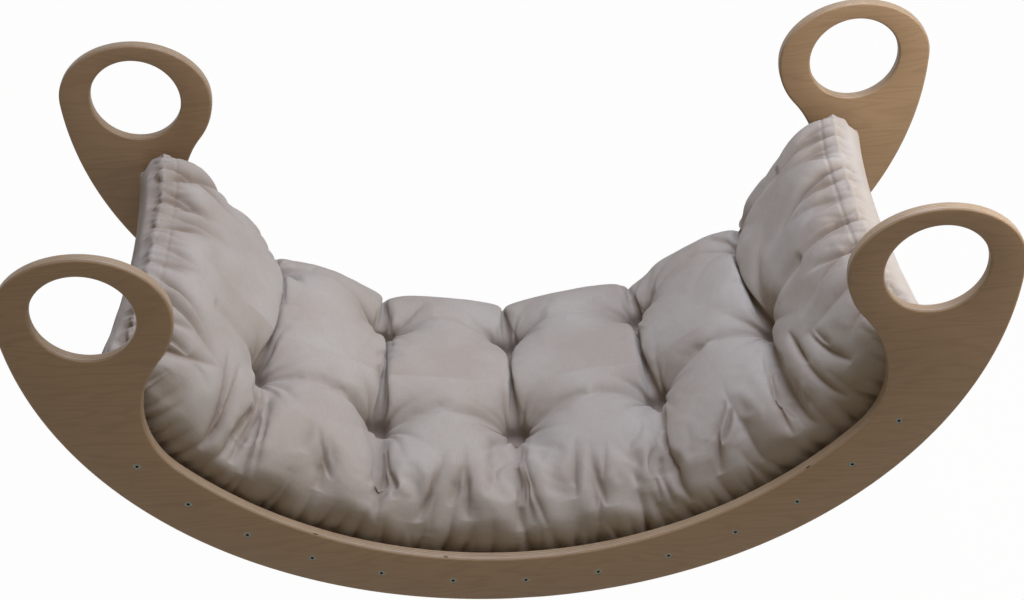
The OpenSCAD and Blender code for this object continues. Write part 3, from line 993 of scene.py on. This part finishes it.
def dress_cover(pad, tufts, place, normals, start, box):
    """Folds and seams that the simulation is too coarse for, as moves along the cloth's own normals."""
    turn, y, rise = start.T
    column, way, bearing, row, nearest = crease_distances(pad, tufts, turn, y)
    share = (box[:, 2] + 1) / 2
    outward = turn / pad.half_angle
    on_top = ease(share, 0.55, 0.35)
    inner = (1 - ease(np.abs(outward), 0.80, 0.1)) * on_top
    move = -18 * MM * tuft_folds(tufts, way, bearing, nearest) * on_top
    move -= 6 * MM * bell(way, 5 * MM) * on_top
    # Column creases: one sharp line and a fainter one beside it
    left = crease_share(tufts, y) * inner
    depth = 0.65 + 0.35 * wander(11, y, 60 * MM)
    wavy = column + 2 * MM * wander(14, y, 40 * MM)
    move -= 8 * MM * depth * valley(wavy, 4 * MM) * left
    beside = column - (11 + 4 * wander(12, y, 45 * MM)) * MM
    move -= 4 * MM * (0.5 + 0.5 * wander(13, y, 50 * MM)) * valley(beside, 3 * MM) * left
    # Folds that join a row's tufts, deepest near the tufts
    move -= 8 * MM * np.exp(-way / (50 * MM)) * valley(row, 4.5 * MM) * inner
    move -= front_folds(pad, tufts, turn, y, rise) * ease(share, 0, 0.2)
    # Gathers that climb from the side hems, and folds that run in from the ends
    along = turn * pad.slat_line_half_length
    half = pad.half_angle * pad.slat_line_half_length
    above = np.clip(rise - 0.5 * pad.hem_rise, 0, 1)
    above += np.clip(0.97 - np.abs(box[:, 1]), 0, 1) * pad.half_width
    for first_seed, face in ((21, box[:, 1] < -SIDE_FACE), (23, box[:, 1] > SIDE_FACE)):
        for seed, *sizes in HEM_GATHERS:
            move -= loose_folds(first_seed + seed, half, sizes, along, above, face & (share > 0.12))
    for sign in (-1, 1):
        to_end = (1 - sign * outward) * half
        behind_ridge = on_top * (0.4 + 0.6 * ease(to_end, 0, 50 * MM))
        for seed, *sizes in END_FOLDS:
            move -= behind_ridge * loose_folds(
                seed + sign, pad.half_width, sizes, y, to_end, (sign * outward > 0.5) & (share > 0.3))
    to_end = (1 - np.abs(box[:, 0])) * half
    face = (np.abs(box[:, 0]) > 0.995) * np.exp(-(1 - share) / 0.25)
    move += face * 2 * MM * (pucker(24, y + 0.5, 16 * MM) - 0.5)
    move += 0.8 * MM * bell(to_end, 2 * MM) * bell((1 - share) * 40 * MM, 3 * MM)
    move -= 1.3 * MM * bell(to_end - 24 * MM, 1.6 * MM) * on_top
    # Fold depth, kept for the cloth's painted shade in the folds.
    fold = np.clip(-move / (11 * MM), 0, 1) ** 1.3
    for k, (step, height) in enumerate(LUMPS):
        lump = wander(31 + k, along + 0.7 * y + rise, step * MM)
        lump = lump * wander(41 + k, y - 0.4 * along, step * MM)
        move += height * MM * lump * (share > 0.1)
    return place + normals * (move * ease(share, 0, 0.08))[:, None], fold


def keep_clear(pad, place):
    """Keeps the cover over the slats and between the sides."""
    x, y, z = place.T
    level = np.hypot(x / pad.slat_line_half_length, (z - pad.slat_line_height) / pad.slat_line_half_depth)
    pull = np.where((level > 1) & (z < pad.slat_line_height), 1 / level, 1.0)
    x = x * pull
    z = pad.slat_line_height + (z - pad.slat_line_height) * pull
    soft = pad.half_width - 12 * MM
    room = INNER_Y - 1.5 * MM - soft
    over = np.clip(np.abs(y) - soft, 0, None)
    y = np.sign(y) * (np.minimum(np.abs(y), soft) + room * (1 - np.exp(-over / room)))
    return np.stack([x, y, z], -1)


def woven_cotton(settings):
    """Unbleached cotton canvas, plain woven with slubs and washed soft: matt, with a faint fuzz at
    grazing angles, and painted shade that darkens it in the folds. Threads are drawn 1.5 mm apart to show."""
    material, shader, add = new_material("woven_cotton")
    place = add("Attribute", attribute_name="cloth").outputs["Vector"]
    parts = add("SeparateXYZ", {"Vector": place})
    threads = []
    slubs = []
    for axis, stretch in (("X", (60.0, 700.0, 1.0)), ("Y", (700.0, 60.0, 1.0))):
        angle = add("Math", {0: parts.outputs[axis], 1: 2 * math.pi / (1.5 * MM)}, operation="MULTIPLY")
        threads.append(add("Math", {0: angle}, operation="SINE"))
        turned = add("Mapping", {"Vector": place, "Scale": stretch})
        slubs.append(add("TexNoise", {"Vector": turned, "Scale": 1.0, "Detail": 2.0}))
    weave = add("Math", {0: threads[0], 1: threads[1]}, operation="MULTIPLY")
    slub = add("Math", {0: slubs[0], 1: slubs[1]}, operation="ADD")
    slub = add("Math", {0: slub, 1: 0.5}, operation="MULTIPLY")
    thick = add("ValToRGB", {"Fac": slub}, [(0.38, 0.16), (0.6, 0.0)])
    wear = add("TexNoise", {"Vector": place, "Scale": 9.0, "Detail": 3.0})
    wear = add("ValToRGB", {"Fac": wear}, [(0.35, 0.35), (0.65, 0.0)])
    # Painted shade in the folds: the cloth is darkened towards the deep fold colour by each place's fold
    # depth.
    fold = add("Attribute", attribute_name="fold").outputs["Fac"]
    painted_shade_mix = add("Math", {0: fold, 1: 0.6}, operation="MULTIPLY")
    shaded = linear(settings.fold_colour)
    cotton = add("Mix", {"Factor": thick, 6: linear(settings.cloth_colour), 7: shaded}, data_type="RGBA")
    cotton = add("Mix", {"Factor": wear, 6: cotton.outputs[2], 7: shaded}, data_type="RGBA")
    cotton = add("Mix", {
        "Factor": painted_shade_mix, 6: cotton.outputs[2], 7: linear(settings.fold_shade_colour)}, data_type="RGBA")
    relief = add("Math", {0: slub, 1: 4.0}, operation="MULTIPLY")
    relief = add("Math", {0: weave, 1: relief}, operation="ADD")
    fine = add("Bump", {"Height": relief, "Strength": 0.15, "Distance": 0.12 * MM})
    crumple = add("TexNoise", {"Vector": place, "Scale": 55.0, "Detail": 3.0, "Distortion": 0.6})
    bump = add("Bump", {"Height": crumple, "Strength": 0.3, "Distance": 1.5 * MM, "Normal": fine})
    set_sockets(shader, {"Base Color": cotton.outputs[2], "Normal": bump})
    shader.inputs["Roughness"].default_value = 0.92
    shader.inputs["Specular IOR Level"].default_value = 0.25
    shader.inputs["Sheen Weight"].default_value = 0.12
    shader.inputs["Sheen Roughness"].default_value = 0.5
    return material


def waxed_twine(settings):
    """Waxed polyester twine: a tight two-ply twist with a slight shine."""
    material, shader, add = new_material("waxed_twine")
    place = add("TexCoord").outputs["Object"]
    twist = add("TexWave", {"Vector": place, "Scale": 180.0, "Distortion": 1.0},
                wave_type="BANDS", bands_direction="DIAGONAL").outputs["Fac"]
    twine = add("ValToRGB", {"Fac": twist}, [(0.2, settings.fold_colour), (0.7, settings.thread_colour)])
    bump = add("Bump", {"Height": twist, "Strength": 0.6, "Distance": 0.5 * MM})
    set_sockets(shader, {"Base Color": twine, "Normal": bump})
    shader.inputs["Roughness"].default_value = 0.6
    return material


def open_core(settings):
    """A gap in a core ply, where the wood is raw and has no lacquer: its near-black colours are painted
    shade of the hollow.
    """
    material, shader, add = new_material("open_core_gap")
    place = add("TexCoord").outputs["Object"]
    painted_shade_mix = add("TexNoise", {"Vector": place, "Scale": 700.0})
    wood = add("ValToRGB", {"Fac": painted_shade_mix}, [(0.3, settings.gap_shade_colour), (0.7, settings.gap_edge_shade)])
    set_sockets(shader, {"Base Color": wood})
    shader.inputs["Roughness"].default_value = 0.95
    return material


# ---------------------------------------------------------------- operators


class SEESAW_OT_stage(bpy.types.Operator):
    """Camera, floor and lamps"""

    bl_idname = "seesaw.stage"
    bl_label = "Stage"

    def execute(self, context):
        studio = context.scene.seesaw_studio
        scene = context.scene
        data = bpy.data.cameras.new("Camera")
        data.sensor_fit = "AUTO"
        data.lens = studio.lens
        camera = bpy.data.objects.new("Camera", data)
        scene.collection.objects.link(camera)
        camera.matrix_world = Matrix.LocRotScale(Vector(studio.eye), camera_turn(studio), None)
        scene.camera = camera
        scene.view_settings.view_transform = "Standard"
        bm = bmesh.new()
        bmesh.ops.create_circle(bm, cap_ends=True, segments=96, radius=9.0,
                                matrix=Matrix.Translation((0, 0, -0.5 * MM)))
        mesh = bpy.data.meshes.new("floor")
        bm.to_mesh(mesh)
        bm.free()
        mesh.materials.append(self.floor_paint(studio))
        floor = bpy.data.objects.new("floor", mesh)
        scene.collection.objects.link(floor)
        self.world_light(scene, studio)
        for name, place, aim, diameter, tint in LAMPS:
            lamp = bpy.data.lights.new(name, "AREA")
            lamp.shape = "DISK"
            lamp.size = diameter
            lamp.energy = getattr(studio, f"{name}_power")
            lamp.color = tint
            item = bpy.data.objects.new(name, lamp)
            way = Vector(place) - Vector(aim)
            item.matrix_world = Matrix.LocRotScale(Vector(place), way.to_track_quat("Z", "Y"), None)
            scene.collection.objects.link(item)
        bpy.context.view_layer.update()
        return {"FINISHED"}

    @staticmethod
    def seen_directly(add):
        """1 for rays from the camera, a mirror or a glass, 0 for the light that lands on the object."""
        rays = add("LightPath").outputs
        seen = add("Math", {0: rays["Is Camera Ray"], 1: rays["Is Glossy Ray"]}, operation="ADD")
        return add("Math", {0: seen, 1: rays["Is Transmission Ray"]}, operation="ADD", use_clamp=True)

    def floor_paint(self, studio):
        """Matt pale studio floor that shows white and keeps a faint shadow."""
        material, shader, add = new_material("studio_floor")
        shader.inputs["Base Color"].default_value = linear(studio.floor_colour)
        shader.inputs["Roughness"].default_value = 0.9
        glow = add("Emission", {"Strength": 1.0})
        share = add("Math", {0: self.seen_directly(add), 1: studio.floor_glow}, operation="MULTIPLY")
        mix = add("MixShader", {0: share, 1: shader, 2: glow})
        set_sockets(material.node_tree.nodes["Material Output"], {"Surface": mix})
        return material

    def world_light(self, scene, studio):
        """White to the camera, a soft warm grey to the object."""
        world = bpy.data.worlds.new("studio")
        scene.world = world
        world.use_nodes = True
        add = partial(add_node, world.node_tree)
        soft = add("Background", {"Color": linear(studio.sky_colour), "Strength": studio.sky_strength})
        white = add("Background", {"Color": (1, 1, 1, 1), "Strength": 1.0})
        mix = add("MixShader", {0: self.seen_directly(add), 1: soft, 2: white})
        set_sockets(world.node_tree.nodes["World Output"], {"Surface": mix})


class SEESAW_OT_sides(bpy.types.Operator):
    """The two plywood rocker sides"""

    bl_idname = "seesaw.sides"
    bl_label = "Rocker sides"

    def execute(self, context):
        settings = context.scene.seesaw_plywood
        wood = birch_plywood(settings)
        for side, node in ((-1, "front_side_panel"), (1, "rear_side_panel")):
            bm = side_mesh(settings)
            for vert in bm.verts:
                vert.co.y = side * (HALF_WIDTH - vert.co.y)
            bmesh.ops.recalc_face_normals(bm, faces=bm.faces)
            panel = finish_mesh(f"{node}_plywood", bm, wood)
            shift = np.array((0.31 * (side + 1), 0.17 * side, 0))
            wood_attribute(panel, lambda co: np.stack(
                [co[:, 0], co[:, 2], HALF_WIDTH - np.abs(co[:, 1])], -1) + shift)
            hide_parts(node)
        return {"FINISHED"}


class SEESAW_OT_slats(bpy.types.Operator):
    """The seat slats between the sides"""

    bl_idname = "seesaw.slats"
    bl_label = "Seat slats"

    def execute(self, context):
        settings = context.scene.seesaw_plywood
        wood = bpy.data.materials.get("birch_plywood") or birch_plywood(settings)
        for number, (name, middle, across) in enumerate(slat_line()):
            bm = bmesh.new()
            bm.from_mesh(frame["nodes"][name].data)
            bmesh.ops.remove_doubles(bm, verts=bm.verts, dist=0.01 * MM)
            bmesh.ops.dissolve_limit(bm, angle_limit=math.radians(1), verts=bm.verts, edges=bm.edges)
            long_edges = [edge for edge in bm.edges if edge.calc_length() > 2 * INNER_Y - 1 * MM
                          and edge.calc_face_angle(0) > math.radians(80)]
            bmesh.ops.bevel(bm, geom=long_edges, offset=settings.edge_round * 0.75, offset_type="OFFSET",
                            affect="EDGES", segments=4, profile=0.5, material=-1)
            bmesh.ops.triangulate(bm, faces=[face for face in bm.faces if len(face.verts) > 4])
            slat = finish_mesh(f"{name}_plywood", bm, wood)
            up = np.array((-across[1], across[0]))
            wood_attribute(slat, lambda co: np.stack(
                [co[:, 1] + 0.7 * number, (co[:, [0, 2]] - middle) @ across + 0.13 * number,
                 (co[:, [0, 2]] - middle) @ up + SIDE_T / 2], -1))
            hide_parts(name)
        return {"FINISHED"}


class SEESAW_OT_fasteners(bpy.types.Operator):
    """Finishes of the screws and dowels, which keep their CAD shapes"""

    bl_idname = "seesaw.fasteners"
    bl_label = "Screws and dowels"

    def execute(self, context):
        settings = context.scene.seesaw_fasteners
        for finish, nodes in ((zinc_plate(settings), ("front_screws", "rear_screws")),
                              (turned_beech(settings), ("front_dowels", "rear_dowels"))):
            for node in nodes:
                item = frame["nodes"][node]
                item.data.materials.clear()
                item.data.materials.append(finish)
        return {"FINISHED"}


class SEESAW_OT_pad(bpy.types.Operator):
    """The sewn and tufted seat pad, blown up with Cloth"""

    bl_idname = "seesaw.pad"
    bl_label = "Seat pad"

    def execute(self, context):
        pad = context.scene.seesaw_pad
        tufts = tuft_places(pad)
        mesh = pad_cells(pad)
        box = read_vectors(mesh.vertices, "co")
        turn, y, rise = pad_start(pad, tufts, box)
        frames = pad.frames
        piece, blown = pad_simulate(pad, mesh, (turn, y, rise), box, tufts, frames)
        piece.data.vertices.foreach_set("co", blown.ravel())
        flat, cell = refine_cover(pad, piece, {"cloth": np.stack([turn, y, rise], -1), "cell": box})
        place = pull_tufts(pad, tufts, read_vectors(piece.data.vertices, "co"), flat, cell)
        piece.data.vertices.foreach_set("co", place.ravel())
        piece.data.update()
        normals = read_vectors(piece.data.vertex_normals, "vector")
        place, fold = dress_cover(pad, tufts, place, normals, flat, cell)
        # Fold depth for the cotton's painted shade in the folds.
        attribute = piece.data.attributes.new("fold", "FLOAT", "POINT")
        attribute.data.foreach_set("value", fold.astype(np.float32))
        place = keep_clear(pad, place)
        piece.data.vertices.foreach_set("co", place.ravel())
        woven = flat * (pad.slat_line_half_length - pad.tuft_height, 1, 1)
        woven[:, 1] += np.where(woven[:, 1] < 0, -1, 1) * (pad.crown - woven[:, 2])
        keep_vectors(piece.data, "cloth", woven)
        piece.data.update()
        piece.data.shade_smooth()
        piece.data.materials.clear()
        piece.data.materials.append(woven_cotton(pad))
        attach(piece, "cushion")
        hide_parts("seat_pad")
        return {"FINISHED"}


class SEESAW_OT_stitches(bpy.types.Operator):
    """A bar of stitches in each tuft"""

    bl_idname = "seesaw.stitches"
    bl_label = "Tuft stitches"

    def execute(self, context):
        pad = context.scene.seesaw_pad
        carrier = carrier_tree(bpy.data.objects["seat_pad_cover"])
        bm = bmesh.new()
        for point in points_named("tuft_"):
            place, normal = tuft_bottom(pad, carrier, point)
            bar = facing(place + normal * 0.4 * MM, normal)
            for strand in (-1, 0, 1):
                beside = Matrix.Translation((0, strand * 0.9 * MM, 0))
                spread = Matrix.Rotation(math.radians(8 * strand), 4, "Z")
                add_bead(bm, bar @ beside @ spread, (3.2, 0.7, 0.8), 12)
        stitches = finish_mesh("tuft_stitches", bm, waxed_twine(pad), body="cushion")
        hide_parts("tuft_ties")
        return {"FINISHED"}


class SEESAW_OT_core_gaps(bpy.types.Operator):
    """Small open gaps in the core plies of the front side"""

    bl_idname = "seesaw.core_gaps"
    bl_label = "Core gaps"

    def execute(self, context):
        settings = context.scene.seesaw_plywood
        carrier = carrier_tree(bpy.data.objects["front_side_panel_plywood"])
        bm = bmesh.new()
        for point in points_named("core_void_"):
            # Each gap is a thin dark bead on the face, its dark colour painted shade standing in for the
            # hollow.
            add_bead(bm, facing(*place_on(carrier, point)), (3.6, 0.8, 0.25), 16)
        gaps = finish_mesh("core_gaps", bm, open_core(settings))
        return {"FINISHED"}


class SEESAW_PT_panel(bpy.types.Panel):
    """Builds the seesaw seat piece by piece"""

    bl_idname = "SEESAW_PT_panel"
    bl_label = "Seesaw seat"
    bl_space_type = "VIEW_3D"
    bl_region_type = "UI"
    bl_category = "Seesaw"

    def draw(self, context):
        for operator in OPERATORS:
            self.layout.operator(operator.bl_idname)
        for name, group in GROUPS.items():
            box = self.layout.box()
            for key in group.__annotations__:
                box.prop(getattr(context.scene, name), key)


# ---------------------------------------------------------------- where things show


def image_places(co):
    """The image points of an array of places."""
    camera = bpy.context.scene.camera
    turn = np.array(camera.matrix_world.to_3x3())
    local = (co - np.array(camera.matrix_world.translation)) @ turn
    data = camera.data
    width, height = IMAGE_SIZE
    long_side = max(width, height)
    scale = long_side * data.lens / data.sensor_width / -local[:, 2]
    return np.stack([local[:, 0] * scale + width / 2 - data.shift_x * long_side,
                     height / 2 - local[:, 1] * scale + data.shift_y * long_side], -1)


def finished_places():
    """Each shown piece's finished vertices."""
    graph = bpy.context.evaluated_depsgraph_get()
    shown = {}
    for item in bpy.context.scene.objects:
        if item.type == "MESH" and item.name != "floor" and not item.hide_render:
            shown[item.name] = read_vectors(item.evaluated_get(graph).data.vertices, "co")
    return shown


def points_report():
    """How far in x and y each thing shows from its image point."""
    shown = finished_places()
    graph = bpy.context.evaluated_depsgraph_get()
    trees = [BVHTree.FromObject(bpy.data.objects[name], graph) for name in shown]
    eye = bpy.context.scene.camera.matrix_world.translation

    def seen(place):
        way = Vector(place) - eye
        reach = way.length - 2 * MM
        return all(tree.ray_cast(eye, way.normalized(), reach)[0] is None for tree in trees)

    def middle(co):
        points = image_places(np.array([place for place in co if seen(place)] or list(co)))
        return (points.min(0) + points.max(0)) / 2

    report = {}
    pad = bpy.context.scene.seesaw_pad
    everything = np.concatenate(list(shown.values()))
    at = image_places(everything)
    ring_x, grip_z = grip_place(bpy.context.scene.seesaw_plywood)
    _, line, _ = zip(*slat_line())
    cover = carrier_tree(bpy.data.objects["seat_pad_cover"])
    panel = carrier_tree(bpy.data.objects["front_side_panel_plywood"])

    def placed(piece, spot):
        co = shown[piece]
        return middle(co[np.linalg.norm(co - np.array(spot), axis=1) < 12 * MM])

    for name, point in IMAGE_POINTS.items():
        if name == "whole_top":
            found = at[next(k for k in np.argsort(at[:, 1]) if seen(everything[k]))]
        elif name.startswith("grip_"):
            _, side, hand = name.split("_")
            co = shown[f"{side}_side_panel_plywood"]
            x = ring_x if hand == "right" else -ring_x
            face = -HALF_WIDTH if side == "front" else INNER_Y
            near = np.hypot(co[:, 0] - x, co[:, 2] - grip_z) < 63 * MM
            found = middle(co[near & (np.abs(co[:, 1] - face) < 4 * MM)])
        elif name.startswith("screw_"):
            spot = line[0 if name == "screw_first" else -1]
            co = shown["front_screws"]
            near = np.hypot(co[:, 0] - spot[0], co[:, 2] - spot[1]) < 6 * MM
            found = middle(co[near & (co[:, 1] < 1 * MM - HALF_WIDTH)])
        elif name.startswith("tuft_"):
            found = placed("tuft_stitches", tuft_bottom(pad, cover, point)[0])
        elif name.startswith("core_void_"):
            found = placed("core_gaps", place_on(panel, point)[0])
        report[name] = {"x": round(float(found[0] - point[0]), 1), "y": round(float(found[1] - point[1]), 1)}
    return report


# ---------------------------------------------------------------- registering and running


GROUPS = {"seesaw_plywood": SeesawPlywood, "seesaw_pad": SeesawPad,
          "seesaw_fasteners": SeesawFasteners, "seesaw_studio": SeesawStudio}
OPERATORS = (SEESAW_OT_stage, SEESAW_OT_sides, SEESAW_OT_slats, SEESAW_OT_fasteners,
             SEESAW_OT_pad, SEESAW_OT_stitches, SEESAW_OT_core_gaps)


def register():
    for item in (*GROUPS.values(), *OPERATORS, SEESAW_PT_panel):
        bpy.utils.register_class(item)
    for name, group in GROUPS.items():
        setattr(bpy.types.Scene, name, bpy.props.PointerProperty(type=group))


def unregister():
    for name in GROUPS:
        delattr(bpy.types.Scene, name)
    for item in (SEESAW_PT_panel, *OPERATORS, *GROUPS.values()):
        bpy.utils.unregister_class(item)


def main():
    register()
    bpy.ops.seesaw.stage()
    bpy.ops.seesaw.sides()
    bpy.ops.seesaw.slats()
    bpy.ops.seesaw.fasteners()
    bpy.ops.seesaw.pad()
    bpy.ops.seesaw.stitches()
    bpy.ops.seesaw.core_gaps()
    points_report()


if __name__ == "__main__":
    main()
